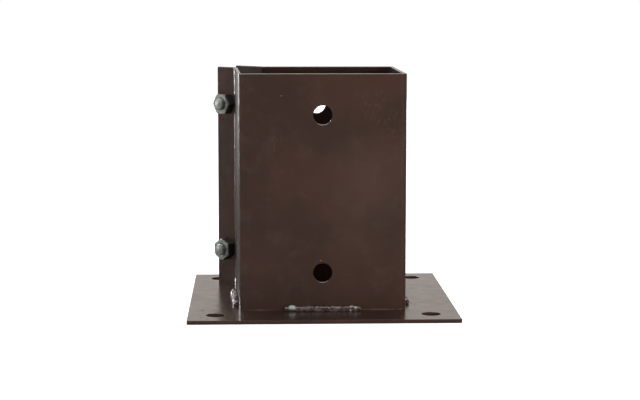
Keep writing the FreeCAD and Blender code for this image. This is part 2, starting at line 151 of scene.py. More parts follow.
class PostBaseColours(bpy.types.PropertyGroup):
    """Colours of the paint, the welds, the zinc and the floor"""
    paint: colour("Paint", "Main brown of the paint", 69, 51, 44)
    paint_red: colour("Redder paint", "Redder patches of the paint", 78, 55, 47)
    pit: colour("Pit", "Dark of chips and pits in the paint", 30, 18, 16)
    scuff: colour("Scuff", "Dust and scuffs on the paint", 112, 96, 88)
    zinc: colour("Zinc", "Dull zinc of bolts and nuts", 150, 154, 147)
    grime: colour("Grime", "Grime in the zinc", 84, 84, 76)
    # Painted shade: darkens the nuts' faces towards their seats, where the ear and the wall shade
    # them
    seat_shade: colour("Seat grime", "Dark grime round the nuts' seats", 26, 24, 21)
    # Bare metal on the welds with painted highlights there, and a painted highlight on the bolts'
    # tips
    bare_metal_and_highlight: colour("Bare metal", "Bright spots of the welds and the bolts' tips", 205, 215, 202)
    # Painted highlights in greyish mauve streaks on the welds
    weld_highlight: colour("Weld dust", "Greyish mauve streaks of the welds", 128, 114, 116)
    # Painted highlights on the left weld's bumps, and real light specks on the front
    highlight_and_speck: colour("Flakes", "Pale flakes of the left weld, specks on the front", 184, 168, 164)
    # Painted reflection: a paler patch right of the front's middle
    painted_reflection: colour("Paler paint", "Paler patch, right of the front's middle", 90, 66, 58)
    # Painted highlight: a thin pale line along the front's foot
    foot_line_highlight: colour("Worn foot", "Paint worn thin at the sleeve's foot", 118, 96, 90)
    floor: colour("Floor", "Floor", 235, 235, 235)


# Selecting and editing


def deselect_all():
    if bpy.context.object is not None and bpy.context.object.mode != "OBJECT":
        bpy.ops.object.mode_set(mode="OBJECT")
    bpy.ops.object.select_all(action="DESELECT")


def pick(piece):
    """Makes the piece the only one selected."""
    deselect_all()
    piece.select_set(True)
    bpy.context.view_layer.objects.active = piece


def take(name):
    """The object that was just added, under its name and with its place in its mesh."""
    piece = bpy.context.object
    piece.name = piece.data.name = name
    settle(piece)
    return piece


def settle(piece):
    pick(piece)
    bpy.ops.object.transform_apply(location=True, rotation=True, scale=True)


def clear_piece(name):
    """Takes away a piece of this name that an earlier run of its operator left."""
    old = bpy.data.objects.get(name)
    if old is not None:
        bpy.data.objects.remove(old, do_unlink=True)


def open_mesh(piece, kind):
    """Goes into edit mode with nothing selected, ready to pick verts, edges or faces."""
    pick(piece)
    bpy.ops.object.mode_set(mode="EDIT")
    bpy.ops.mesh.select_mode(type=kind)
    bpy.ops.mesh.select_all(action="DESELECT")


def close_mesh():
    bpy.ops.object.mode_set(mode="OBJECT")


def choose(kind, test):
    """Selects the open mesh's verts, edges or faces that pass the test."""
    mesh = bpy.context.object.data
    shape = bmesh.from_edit_mesh(mesh)
    parts = {"VERT": shape.verts, "EDGE": shape.edges, "FACE": shape.faces}[kind]
    chosen = 0
    for part in parts:
        if test(part):
            part.select_set(True)
            chosen += 1
    shape.select_flush_mode()
    bmesh.update_edit_mesh(mesh)
    if not chosen:
        raise RuntimeError(f"nothing of {bpy.context.object.name} passes the test")


def apply_modifier(piece, kind, **values):
    pick(piece)
    modifier = piece.modifiers.new(kind.title(), kind)
    for key, value in values.items():
        setattr(modifier, key, value)
    bpy.ops.object.modifier_apply(modifier=modifier.name)


def cut(piece, *cutters, how="DIFFERENCE"):
    """Cuts the piece by each cutter, which is then gone."""
    for cutter in cutters:
        apply_modifier(piece, "BOOLEAN", operation=how, object=cutter, solver="EXACT")
        bpy.data.objects.remove(cutter, do_unlink=True)


def clean_mesh(piece):
    """Merges doubled points and turns every face outwards."""
    open_mesh(piece, "VERT")
    bpy.ops.mesh.select_all(action="SELECT")
    bpy.ops.mesh.remove_doubles(threshold=TIGHT)
    bpy.ops.mesh.normals_make_consistent(inside=False)
    close_mesh()


def slice_off(piece, point, normal):
    """Cuts away what lies beyond a plane and closes the cut."""
    open_mesh(piece, "VERT")
    bpy.ops.mesh.select_all(action="SELECT")
    bpy.ops.mesh.bisect(plane_co=point, plane_no=normal, use_fill=True, clear_outer=True,
                        threshold=TIGHT)
    close_mesh()


def round_arrises(piece, width, limit, steps=3):
    apply_modifier(piece, "BEVEL", width=width, segments=steps, limit_method="ANGLE",
                   angle_limit=math.radians(limit), offset_type="OFFSET", use_clamp_overlap=True)


def shade(piece, even=True):
    """Smooth shading that keeps broad flat faces flat, and cuts sharp."""
    pick(piece)
    if not even:
        bpy.ops.object.shade_smooth()
        return
    bpy.ops.object.shade_smooth_by_angle(angle=math.radians(SHARP))
    apply_modifier(piece, "WEIGHTED_NORMAL", mode="FACE_AREA", weight=100, thresh=SAME_AREA,
                   keep_sharp=True)


def finish_piece(piece, nodes, material):
    """Gives the piece its material and its place in the frame."""
    piece.data.materials.clear()
    piece.data.materials.append(material)
    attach(piece, BODY)
    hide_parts(*nodes)
    return piece


# Starting shapes


def add_rod(name, start, end, radius):
    """Closed rod from one point to another."""
    start, end = Vector(start), Vector(end)
    along = end - start
    facing = along.to_track_quat("Z", "Y")
    bpy.ops.mesh.primitive_cylinder_add(vertices=ROUND, radius=radius, depth=along.length,
                                        location=(start + end) / 2, rotation=facing.to_euler())
    return take(name)


def add_upright_rod(name, low, high, radius, sides=ROUND, turn=0.0):
    bpy.ops.mesh.primitive_cylinder_add(vertices=sides, radius=radius, depth=high - low,
                                        location=(0, 0, (low + high) / 2), rotation=(0, 0, turn))
    return take(name)


def taper_end(piece, side, drop, ratio):
    """Draws a further end out of a rod, narrowed by a ratio: side 1 is the top, -1 the foot."""
    open_mesh(piece, "FACE")
    choose("FACE", lambda face: face.normal.z * side > 0.9)
    bpy.ops.mesh.extrude_region_move(TRANSFORM_OT_translate={"value": (0, 0, side * drop)})
    bpy.ops.transform.resize(value=(ratio, ratio, 1))
    close_mesh()


def turned_blank(name, low, high, radius, end_radius, slope, ends):
    """Round bar whose ends are turned down to a smaller radius at a slope from the end face."""
    drop = (radius - end_radius) * math.tan(slope)
    foot, top = low + drop * (-1 in ends), high - drop * (1 in ends)
    blank = add_upright_rod(name, foot, top, radius, TURNED)
    for side in ends:
        taper_end(blank, side, drop, end_radius / radius)
    return blank


# Base plate and sleeve


def sizes():
    return bpy.context.scene.post_base_sizes


def colours():
    return bpy.context.scene.post_base_colours


def plate_half(size):
    return (size.post_side + size.post_play) / 2 + size.sleeve_wall + size.plate_border


def clamp_axis(size):
    """Distance of the clamp bolts from the sleeve's middle, out along its diagonal."""
    return (size.post_side + size.post_play) / math.sqrt(2) + size.clamp_reach


def on_diagonal(outward, across):
    """Point by its distance out towards the ears and its distance to the back of the diagonal."""
    return Vector((across - outward, across + outward, 0)) / math.sqrt(2)


def inner_corners(size):
    """Corners of the sheet's inner face, from the left ear's edge round to the back ear's."""
    room = size.post_side + size.post_play
    half = room / 2
    slope = math.tan(size.wall_spring)
    gap = size.ear_gap / math.sqrt(2)
    left_wall = (room - gap) / (1 - slope)
    axis = clamp_axis(size)
    return [
        on_diagonal(axis + size.left_ear_edge, -size.ear_gap / 2),
        Vector((-half - left_wall * slope, -half + left_wall, 0)),
        Vector((-half, -half, 0)),
        Vector((half, -half, 0)),
        Vector((half, half, 0)),
        Vector((gap - half, half, 0)),
        on_diagonal(axis + size.back_ear_edge, size.ear_gap / 2),
    ]


def stands_at(corner):
    """Test for the upright edge over a corner."""
    def test(edge):
        return all(math.dist(vert.co.xy, corner.xy) < NEAR for vert in edge.verts)
    return test


def run_sheet(name, corners, low, height):
    """Upright sheet of no thickness along the corners, drawn out from the front wall."""
    front, right = corners[2], corners[3]
    middle = (front + right) / 2 + UP * (low + height / 2)
    bpy.ops.mesh.primitive_plane_add(size=1, location=middle, rotation=(math.pi / 2, 0, 0))
    sheet = take(name)
    open_mesh(sheet, "EDGE")
    bpy.ops.mesh.select_all(action="SELECT")
    bpy.ops.transform.resize(value=((right - front).length, 1, height))
    for path in (corners[3:], corners[2::-1]):
        for here, there in zip(path, path[1:]):
            bpy.ops.mesh.select_all(action="DESELECT")
            choose("EDGE", stands_at(here))
            bpy.ops.mesh.extrude_region_move(TRANSFORM_OT_translate={"value": there - here})
    close_mesh()
    clean_mesh(sheet)
    return sheet


def fold_sheet(sheet, corners, size):
    """Rounds the corners: the post's side is a fold's inside, except where an ear leaves."""
    open_mesh(sheet, "EDGE")
    for place in range(1, len(corners) - 1):
        before, corner, after = corners[place - 1:place + 2]
        turn = (corner - before).angle(after - corner)
        leaves = place in (1, len(corners) - 2)
        radius = size.bend_radius + (size.sleeve_wall if leaves else 0)
        bpy.ops.mesh.select_all(action="DESELECT")
        choose("EDGE", stands_at(corner))
        bpy.ops.mesh.bevel(offset_type="OFFSET", offset=radius * math.tan(turn / 2),
                           segments=FOLD_STEPS, profile=0.5, affect="EDGES")
    close_mesh()


def cut_sleeve_holes(sleeve, size):
    """Post holes through front and back, clamp holes through both ears."""
    foot, top = size.plate_thickness, size.plate_thickness + size.sleeve_height
    reach = size.post_side
    cutters = []
    for level in (foot + size.post_hole_foot, top - size.post_hole_top):
        ends = (0, -reach, level), (0, reach, level)
        cutters.append(add_rod("post_hole_cutter", *ends, size.post_hole / 2))
    for level in clamp_levels(size).values():
        ends = [on_diagonal(clamp_axis(size), side * size.ear_gap) + UP * level for side in (-1, 1)]
        cutters.append(add_rod("clamp_hole_cutter", *ends, size.clamp_hole / 2))
    cut(sleeve, *cutters)


class POSTBASE_OT_sleeve(bpy.types.Operator):
    """Folds the sleeve and its ears from one sheet"""
    bl_idname = "post_base.sleeve"
    bl_label = "Sleeve"
    bl_options = {"REGISTER", "UNDO"}

    def execute(self, context):
        size = sizes()
        clear_piece("folded_sleeve")
        corners = inner_corners(size)
        foot, spare = size.plate_thickness, 2 * size.sleeve_arris
        sleeve = run_sheet("folded_sleeve", corners, foot - spare, size.sleeve_height + spare)
        fold_sheet(sleeve, corners, size)
        apply_modifier(sleeve, "SOLIDIFY", thickness=size.sleeve_wall, offset=1,
                       use_even_offset=True, use_rim=True)
        cut_sleeve_holes(sleeve, size)
        round_arrises(sleeve, size.sleeve_arris, CUT_EDGE)
        slice_off(sleeve, (0, 0, foot), (0, 0, -1))
        clean_mesh(sleeve)
        shade(sleeve)
        finish_piece(sleeve, ["post_sleeve"], paint_material())
        return {"FINISHED"}


class POSTBASE_OT_plate(bpy.types.Operator):
    """Square base plate with an anchor hole at each corner"""
    bl_idname = "post_base.plate"
    bl_label = "Base plate"
    bl_options = {"REGISTER", "UNDO"}

    def execute(self, context):
        size = sizes()
        clear_piece("anchor_plate")
        half, thick = plate_half(size), size.plate_thickness
        bpy.ops.mesh.primitive_cube_add(size=1, location=(0, 0, thick / 2),
                                        scale=(2 * half, 2 * half, thick))
        plate = take("anchor_plate")
        spot = half - size.anchor_edge
        for x in (-spot, spot):
            for y in (-spot, spot):
                ends = (x, y, -thick), (x, y, 2 * thick)
                cut(plate, add_rod("anchor_cutter", *ends, size.anchor_hole / 2))
        round_arrises(plate, size.plate_arris, CUT_EDGE)
        shade(plate)
        finish_piece(plate, ["base_plate"], paint_material())
        return {"FINISHED"}


# Welds


DROPS = 21             # drops in each weld
STRAY = 0.35           # how far a drop strays along the weld, in millimetres
SWELL = (0.86, 1.04)   # least and greatest swelling of a drop
# Shares of the weld's leg: a drop's place out from the wall and up from the plate, its half depth
# and half height, and what its half width has beyond DROP_WIDTH
DROP_OUT, DROP_UP, DROP_DEEP, DROP_TALL, DROP_WIDE = 0.36, 0.30, 0.62, 0.52, 0.52
DROP_WIDTH = 0.80 * MM
VOXEL = 0.32 * MM      # grain of the mesh that melts the drops together
# Height and size of the small ridges on a rippled weld, and on the torn left one
RIPPLED = (0.22 * MM, 1.1 * MM)
TORN = (0.75 * MM, 1.7 * MM)
FINER, FINE_SHARE = 2.3, 0.5   # smaller ridges on those: how much finer, and how much as high
SEED_SHIFT = (3.1, 1.7, 0.9)   # how far each seed moves the ridges' pattern


def weld_ripples(name, size, lumps, seed):
    """Overlapping drops of metal along X, in the corner of a wall at Y 0 and a plate at Z 0."""
    chance = random.Random(seed)
    leg, run = size.weld_leg, size.weld_length
    drops = []
    for number in range(DROPS):
        x = run * ((number + 0.5) / DROPS - 0.5) + chance.uniform(-STRAY, STRAY) * MM
        swell = chance.uniform(*SWELL)
        drops.append((x, DROP_OUT * leg * swell, DROP_UP * leg * swell,
                      DROP_WIDTH + DROP_WIDE * leg, DROP_DEEP * leg * swell,
                      DROP_TALL * leg * swell))
    for x, out, up, wide, deep, tall in lumps:
        drops.append((x * MM, out * MM, up * MM, wide * MM, deep * MM, tall * MM))
    for x, out, up, wide, deep, tall in drops:
        bpy.ops.mesh.primitive_uv_sphere_add(segments=20, ring_count=12, radius=1,
                                             location=(x, -out, up), scale=(wide, deep, tall))
        bpy.context.object.name = name
        settle(bpy.context.object)
    return join_named(name)


def join_named(name):
    """Joins every object whose name starts so into one."""
    deselect_all()
    parts = [part for part in bpy.context.scene.objects if part.name.split(".")[0] == name]
    for part in parts:
        part.select_set(True)
    bpy.context.view_layer.objects.active = parts[0]
    bpy.ops.object.join()
    piece = bpy.context.object
    piece.name = piece.data.name = name
    return piece


def roughen(piece, height, grain, seed):
    """Works small hollows and ridges into a fine mesh, each point along its own normal."""
    shift = Vector([seed * part for part in SEED_SHIFT])
    moves = [(vert, vert.normal.copy()) for vert in piece.data.vertices]
    for vert, normal in moves:
        coarse = noise.noise(vert.co / grain + shift)
        fine = noise.noise(vert.co * FINER / grain + shift)
        vert.co += normal * (height * (coarse + FINE_SHARE * fine))


# Each weld: name, CAD node, turn about Z in degrees, extra drops in millimetres
# (along, out, up, half width, half depth, half height)
WELDS = (
    ("front_bead", "weld_front", 0,
     ((-19.5, 1.6, 2.3, 2.6, 1.8, 1.7), (18.6, 1.5, 2.0, 2.4, 1.7, 1.5))),
    ("right_bead", "weld_right", 90,
     ((-16, 1.6, 2.2, 2.4, 1.9, 1.8), (9, 1.5, 2.1, 2.2, 1.8, 1.7))),
    ("back_bead", "weld_back", 180,
     ((12, 1.6, 2.0, 2.4, 1.8, 1.6), (-17, 1.4, 2.2, 2.0, 1.7, 1.6))),
    ("left_bead", "weld_left", 270,
     ((15, 1.8, 2.3, 2.2, 2.0, 1.9), (6, 1.6, 2.4, 2.0, 1.8, 1.7))),
)


def weld_place(node, turn, size):
    """Where a weld's corner line goes: against the wall, on the plate, at its node's middle."""
    low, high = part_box(node)
    middle = (low + high) / 2
    half = (size.post_side + size.post_play) / 2 + size.sleeve_wall
    facing = Matrix.Rotation(math.radians(turn), 4, "Z")
    wall = facing.to_3x3() @ Vector((0, -half, 0))
    along = facing.to_3x3() @ Vector((1, 0, 0))
    point = wall + along * middle.dot(along) + UP * size.plate_thickness
    if node == "weld_left":
        pivot = Vector((-(half - size.sleeve_wall), -(half - size.sleeve_wall), 0))
        lean = (Matrix.Translation(pivot) @ Matrix.Rotation(size.wall_spring, 4, "Z")
                @ Matrix.Translation(-pivot))
        return lean @ Matrix.Translation(point) @ facing
    return Matrix.Translation(point) @ facing


class POSTBASE_OT_welds(bpy.types.Operator):
    """Rough painted beads that hold the sleeve to the plate"""
    bl_idname = "post_base.welds"
    bl_label = "Welds"
    bl_options = {"REGISTER", "UNDO"}

    def execute(self, context):
        size = sizes()
        for number, (name, node, turn, lumps) in enumerate(WELDS):
            clear_piece(name)
            bead = weld_ripples(name, size, lumps, size.weld_seed + number)
            apply_modifier(bead, "REMESH", mode="VOXEL", voxel_size=VOXEL)
            apply_modifier(bead, "SMOOTH", factor=0.5, iterations=2)
            height, grain = TORN if name == "left_bead" else RIPPLED
            roughen(bead, height, grain, size.weld_seed + number)
            slice_off(bead, (0, 0, 0), (0, 1, 0))
            slice_off(bead, (0, 0, 0), (0, 0, -1))
            clean_mesh(bead)
            bead.data.transform(weld_place(node, turn, size))
            shade(bead, even=False)
            finish_piece(bead, [node], weld_material())
        return {"FINISHED"}


# Clamp bolts and nuts


def clamp_place(size, level, turn=0.0):
    """Place of a clamp bolt: its own Z runs from the back ear to the left one, its own Y is up."""
    axes = (Vector((1, -1, 0)).normalized(), UP, Vector((-1, -1, 0)).normalized())
    place = Matrix.Identity(4)
    for column, axis in enumerate(axes):
        for row in range(3):
            place[row][column] = axis[row]
    place.translation = on_diagonal(clamp_axis(size), 0) + UP * level
    return place @ Matrix.Rotation(turn, 4, "Z")


def clamp_levels(size):
    foot, top = size.plate_thickness, size.plate_thickness + size.sleeve_height
    return {"lower": foot + size.clamp_hole_end, "upper": top - size.clamp_hole_end}


TURNED_WIDE = 1.05               # width of the turned blank over the hexagon's corners
TURNED_FACE = 1.06               # width of its end face over the hexagon's flats
TURNED_SLOPE = math.radians(30)
ASKEW = math.radians(1)          # turns the blank so that its sides miss the hexagon's corners


def add_hexagon(name, size, low, high, bevelled):
    """Hexagon with two level flats, its corners turned off at the bevelled ends."""
    corner = size.across_flats / math.sqrt(3)
    block = add_upright_rod(name, low, high, corner, 6, math.radians(30))
    blank = turned_blank("blank", low - MM * (-1 not in bevelled), high + MM * (1 not in bevelled),
                         corner * TURNED_WIDE, TURNED_FACE * size.across_flats / 2, TURNED_SLOPE,
                         bevelled)
    blank.data.transform(Matrix.Rotation(ASKEW, 4, "Z"))
    cut(block, blank, how="INTERSECT")
    return block


DOME_RISE = 0.4 * MM
DOME = ((0.5, 0.78), (0.35, 0.6), (0.15, 0.3))   # share of the rise, and how far each step narrows
TIP_DROP = 0.8 * MM              # how much the bolt's end is turned down, at this slope
TIP_SLOPE = math.radians(45)
CREST_ROOM = 0.02 * MM           # room between the thread's crests and the blank it is turned from
BORE_ROOM = 0.05 * MM            # room between the thread and the nut's bore
BORE_MOUTH = 0.55 * MM           # depth of the countersinks of the nut's bore
BOLT_ARRIS, NUT_ARRIS = 0.18 * MM, 0.2 * MM
THREAD_DEPTH = 0.54              # share of the thread's pitch
THREAD_SIDES = 24
THREAD_PARTS = 16                # parts of one pitch in the thread's profile
THREAD_START = 3                 # part at which the thread starts to rise
THREAD_RISES = (0.2, 0.4, 0.6, 0.8, 1, 1, 1, 0.8, 0.6, 0.4, 0.2)   # shares of its depth


def add_thread(name, size, low, high):
    """Threaded rod: one turn's profile, screwed along Z and cut off square at both ends."""
    pitch, crest = size.thread_pitch, size.bolt_diameter / 2
    root = crest - THREAD_DEPTH * pitch
    turns = math.ceil((high - low) / pitch) + 2
    bpy.ops.mesh.primitive_plane_add(size=pitch, rotation=(math.pi / 2, 0, 0),
                                     location=(root - pitch / 2, 0, low - pitch / 2))
    rod = take(name)
    open_mesh(rod, "VERT")
    choose("VERT", lambda vert: vert.co.x < root - pitch / 2)
    bpy.ops.mesh.delete(type="VERT")
    bpy.ops.mesh.select_all(action="SELECT")
    bpy.ops.mesh.subdivide(number_cuts=THREAD_PARTS - 1)
    for step, rise in enumerate(THREAD_RISES, THREAD_START):
        level = low - pitch + pitch * step / THREAD_PARTS
        bpy.ops.mesh.select_all(action="DESELECT")
        choose("VERT", lambda vert: abs(vert.co.z - level) < NEAR)
        bpy.ops.transform.translate(value=((crest - root) * rise, 0, 0))
    bpy.ops.mesh.select_all(action="SELECT")
    bpy.ops.mesh.dissolve_limited(angle_limit=math.radians(1))
    close_mesh()
    apply_modifier(rod, "SCREW", axis="Z", screw_offset=pitch, iterations=turns, steps=THREAD_SIDES,
                   render_steps=THREAD_SIDES, angle=math.tau, use_merge_vertices=False)
    clean_mesh(rod)
    slice_off(rod, (0, 0, high), (0, 0, 1))
    slice_off(rod, (0, 0, low), (0, 0, -1))
    clean_mesh(rod)
    return rod


class POSTBASE_OT_bolts(bpy.types.Operator):
    """Two threaded hexagon bolts through the ears"""
    bl_idname = "post_base.bolts"
    bl_label = "Clamp bolts"
    bl_options = {"REGISTER", "UNDO"}

    def execute(self, context):
        size = sizes()
        seat = size.ear_gap / 2 + size.sleeve_wall
        tip = seat + size.nut_height + size.bolt_end
        radius = size.bolt_diameter / 2
        for where, level in clamp_levels(size).items():
            name = f"{where}_bolt"
            clear_piece(name)
            bolt = add_hexagon(name, size, -seat - size.head_height, -seat, [-1])
            thread = add_thread("thread", size, -seat - MM, tip)
            blank = turned_blank("blank", -seat - 2 * MM, tip - DOME_RISE, radius + CREST_ROOM,
                                 radius - TIP_DROP, TIP_SLOPE, [1])
            for share, ratio in DOME:
                taper_end(blank, 1, share * DOME_RISE, ratio)
            cut(thread, blank, how="INTERSECT")
            cut(bolt, thread, how="UNION")
            round_arrises(bolt, BOLT_ARRIS, METAL_EDGE, 2)
            bolt.data.transform(clamp_place(size, level))
            shade(bolt)
            finish_piece(bolt, [f"clamp_bolt_{where}"], zinc_material())
        return {"FINISHED"}


class POSTBASE_OT_nuts(bpy.types.Operator):
    """Two hexagon nuts on the left ear"""
    bl_idname = "post_base.nuts"
    bl_label = "Clamp nuts"
    bl_options = {"REGISTER", "UNDO"}

    def execute(self, context):
        size = sizes()
        seat = size.ear_gap / 2 + size.sleeve_wall
        face = seat + size.nut_height
        bore, mouth = size.bolt_diameter / 2 + BORE_ROOM, BORE_MOUTH
        for where, level in clamp_levels(size).items():
            name = f"{where}_nut"
            clear_piece(name)
            nut = add_hexagon(name, size, seat, face, [-1, 1])
            cutter = add_upright_rod("bore_cutter", seat + mouth, face - mouth, bore)
            for side in (-1, 1):
                taper_end(cutter, side, mouth + MM, (bore + mouth + MM) / bore)
            cut(nut, cutter)
            round_arrises(nut, NUT_ARRIS, METAL_EDGE, 2)
            turned = getattr(size, f"{where}_nut_turn")
            nut.data.transform(clamp_place(size, level, turned))
            shade(nut)
            finish_piece(nut, [f"clamp_nut_{where}"], zinc_material())
        return {"FINISHED"}


# Materials


def node(tree, kind, inputs=(), **settings):
    """Adds a shader node. An input is a plain value, or another node's output to link."""
    made = tree.nodes.new(kind)
    for key, value in settings.items():
        setattr(made, key, value)
    for socket, value in dict(inputs).items():
        if isinstance(value, bpy.types.NodeSocket):
            tree.links.new(value, made.inputs[socket])
        else:
            made.inputs[socket].default_value = value
    return made


def place_of(tree):
    """Place on the piece, in metres, the same for every piece of the part."""
    return node(tree, "ShaderNodeTexCoord").outputs["Object"]


def noise_of(tree, place, size, detail, roughness, stretch=None):
    """Cloudy pattern whose blobs are about this size, from 0 to 1."""
    if stretch is not None:
        place = node(tree, "ShaderNodeMapping", {0: place, 3: stretch}).outputs[0]
    return node(tree, "ShaderNodeTexNoise", {0: place, "Scale": 1 / size, "Detail": detail,
                                             "Roughness": roughness}).outputs[0]


def between(tree, value, low, high, low_out=0.0, high_out=1.0):
    """The value's range from low to high, drawn out to another range."""
    spread = node(tree, "ShaderNodeMapRange", {0: value, 1: low, 2: high, 3: low_out, 4: high_out})
    return spread.outputs[0]


def pattern(tree, place, kind, low_out=0.0, high_out=1.0, stretch=None):
    """Noise of one of the kinds of PATTERNS, drawn out to a range."""
    size, detail, roughness, low, high = PATTERNS[kind]
    cloudy = noise_of(tree, place, size, detail, roughness, stretch)
    return between(tree, cloudy, low, high, low_out, high_out)


def grain_of(tree, place, size, detail, roughness, strength, depth):
    """Fine bumps, as a normal for the shader."""
    height = noise_of(tree, place, size, detail, roughness)
    bump = node(tree, "ShaderNodeBump", {"Height": height, "Strength": strength, "Distance": depth})
    return bump.outputs[0]


def multiply(tree, first, second):
    return node(tree, "ShaderNodeMath", {0: first, 1: second}, operation="MULTIPLY").outputs[0]


def maximum(tree, first, second):
    return node(tree, "ShaderNodeMath", {0: first, 1: second}, operation="MAXIMUM").outputs[0]


def blend(tree, share, first, second):
    """Colour between two, by a share that follows a pattern."""
    mix = node(tree, "ShaderNodeMix", {0: share}, data_type="RGBA")
    for socket, value in ((6, first), (7, second)):
        if isinstance(value, bpy.types.NodeSocket):
            tree.links.new(value, mix.inputs[socket])
        else:
            mix.inputs[socket].default_value = (*value, 1)
    return mix.outputs[2]


def start_material(name):
    """New material with its tree and shader, or the one that is there already and no tree."""
    material = bpy.data.materials.get(name)
    if material is not None:
        return material, None, None
    material = bpy.data.materials.new(name)
    material.use_nodes = True
    tree = material.node_tree
    tree.nodes.clear()
    shader = tree.nodes.new("ShaderNodeBsdfPrincipled")
    output = tree.nodes.new("ShaderNodeOutputMaterial")
    tree.links.new(shader.outputs[0], output.inputs["Surface"])
    return material, tree, shader


def set_shader(tree, shader, **values):
    """Sets the shader's inputs by name, with a space for each underscore."""
    for key, value in values.items():
        socket = shader.inputs[key.replace("_", " ")]
        if isinstance(value, bpy.types.NodeSocket):
            tree.links.new(value, socket)
        else:
            socket.default_value = value


def spots_of(tree, place, spots, edge):
    """Share that is 1 inside any of the spots, each a place and a radius in millimetres."""
    share = None
    for x, y, z, radius in spots:
        apart = node(tree, "ShaderNodeVectorMath", {0: place, 1: (x * MM, y * MM, z * MM)},
                     operation="DISTANCE").outputs["Value"]
        spot = between(tree, apart, radius * MM * (1 + edge), radius * MM * (1 - edge))
        share = spot if share is None else maximum(tree, share, spot)
    return share


# Chips in the plate's paint: place and radius in millimetres
PITS = (
    (-76.0, -51.0, 2.5, 0.9), (-69.0, -50.0, 2.5, 0.7), (-71.5, -63.0, 2.5, 0.8),
    (-71.0, -70.0, 2.5, 0.9), (-72.5, -80.0, 2.5, 0.8), (-76.5, -74.0, 2.5, 0.7),
    (58.0, -30.0, 2.5, 0.8),
)
# Painted reflection as a paler patch, light specks and scratched places on the front: place and
# radius in millimetres
REFLECTION_PATCHES = ((28.0, -53.0, 84.0, 20.0),)
SPECKS = ((-26.0, -53.0, 138.6, 0.3), (-1.2, -53.0, 34.4, 0.3))
SCUFFS = ((34.0, -53.0, 132.0, 9.0), (40.0, -53.0, 121.0, 8.0), (-30.0, -53.0, 108.0, 6.0))
# Levels at which the painted highlight along the front's foot starts and stops, and the depth where
# the front starts:
# each is a soft edge, from none of the highlight to all of it
FOOT_START, FOOT_STOP = (2.55 * MM, 2.65 * MM), (3.3 * MM, 2.9 * MM)
FRONT_START = (-52.4 * MM, -52.6 * MM)
# Bare metal with painted highlights on the front weld, and painted highlights on the left one:
# place and radius in millimetres
GLINTS = ((-20.4, -56.2, 5.2, 1.2), (-18.6, -56.4, 5.2, 1.2),
          (20.8, -56.2, 5.0, 0.8), (17.4, -57.0, 3.0, 0.7))
FLAKE_HIGHLIGHTS = ((-56.4, -33.0, 5.0, 2.6), (-56.8, -26.0, 3.6, 2.4), (-56.6, -18.0, 5.6, 2.6),
          (-57.4, -9.0, 3.8, 2.6), (-57.0, -2.0, 5.6, 2.4), (-58.0, 6.0, 4.2, 2.4))
# Distance across the diagonal at which the painted shade at the nuts' seats ends, and at which the
# bolts' tips, with their painted highlight, start
SEAT_SHADE, TIP_START = (-18.2 * MM, -16.6 * MM), (-20.1 * MM, -20.7 * MM)

# Noises: size of the blobs, detail and roughness, and the part of their range that is drawn out
PATTERNS = {
    "redder clouds": (44 * MM, 2, 0.5, 0.42, 0.62),
    "dust": (12 * MM, 4, 0.6, 0.5, 0.8),
    "scratches": (1.8 * MM, 4, 0.7, 0.55, 0.68),
    "foot highlight": (14 * MM, 3, 0.5, 0.4, 0.55),
    "paint sheen": (9 * MM, 4, 0.6, 0.3, 0.7),
    "weld clouds": (2.2 * MM, 4, 0.6, 0.35, 0.65),
    "weld streaks": (1.6 * MM, 4, 0.65, 0.48, 0.6),
    "torn highlights": (1.6 * MM, 4, 0.7, 0.49, 0.58),
    "weld sheen": (1.5 * MM, 3, 0.5, 0.3, 0.7),
    "zinc clouds": (2.6 * MM, 4, 0.6, 0.35, 0.75),
    "zinc sheen": (1.2 * MM, 4, 0.6, 0.3, 0.7),
}
# Fine bumps: size, detail and roughness of their noise, then strength and depth
ORANGE_PEEL = (1.3 * MM, 3, 0.55, 0.35, 0.03 * MM)
WELD_GRAIN = (0.7 * MM, 3, 0.6, 0.5, 0.08 * MM)
ZINC_GRAIN = (0.5 * MM, 4, 0.6, 0.35, 0.04 * MM)
# Least and greatest roughness
PAINT_ROUGH, WELD_ROUGH, ZINC_ROUGH = (0.2, 0.27), (0.16, 0.34), (0.45, 0.6)
# How strongly a pattern shows at most, from 0 to 1
PATCH_SHARE, DUST_SHARE, SCUFF_SHARE, SPECK_SHARE = 0.8, 0.16, 0.35, 0.7
STREAK_SHARE, SEAT_SHADE_SHARE, TIP_SHARE = 0.8, 0.92, 0.1
# Least and greatest strength of the painted highlight along the front's foot
FOOT_HIGHLIGHT = (0.1, 0.8)


def clean_paint(tree, place, tone):
    """Brown in faint redder clouds, with a paler patch that is a painted reflection, and a little
    dust.
    """
    shown = blend(tree, pattern(tree, place, "redder clouds"), tone.paint, tone.paint_red)
    patch = multiply(tree, spots_of(tree, place, REFLECTION_PATCHES, edge=0.8), PATCH_SHARE)
    shown = blend(tree, patch, shown, tone.painted_reflection)
    dust = multiply(tree, pattern(tree, place, "dust"), DUST_SHARE)
    return blend(tree, dust, shown, tone.scuff)


def scratched_paint(tree, place, tone, shown):
    """The paint with its scuffs and light specks."""
    scratched = multiply(tree, pattern(tree, place, "scratches", stretch=(1, 1, 0.5)), SCUFF_SHARE)
    scuffs = multiply(tree, spots_of(tree, place, SCUFFS, edge=0.6), scratched)
    shown = blend(tree, scuffs, shown, tone.scuff)
    specks = multiply(tree, spots_of(tree, place, SPECKS, edge=0.4), SPECK_SHARE)
    return blend(tree, specks, shown, tone.highlight_and_speck)


def highlit_foot(tree, place, tone, shown):
    """The paint with a thin, patchy painted highlight along the front's foot."""
    parts = node(tree, "ShaderNodeSeparateXYZ", {0: place}).outputs
    start, stop = between(tree, parts["Z"], *FOOT_START), between(tree, parts["Z"], *FOOT_STOP)
    front = between(tree, parts["Y"], *FRONT_START)
    foot = multiply(tree, multiply(tree, start, stop), front)
    patchy = pattern(tree, place, "foot highlight", *FOOT_HIGHLIGHT)
    return blend(tree, multiply(tree, foot, patchy), shown, tone.foot_line_highlight)


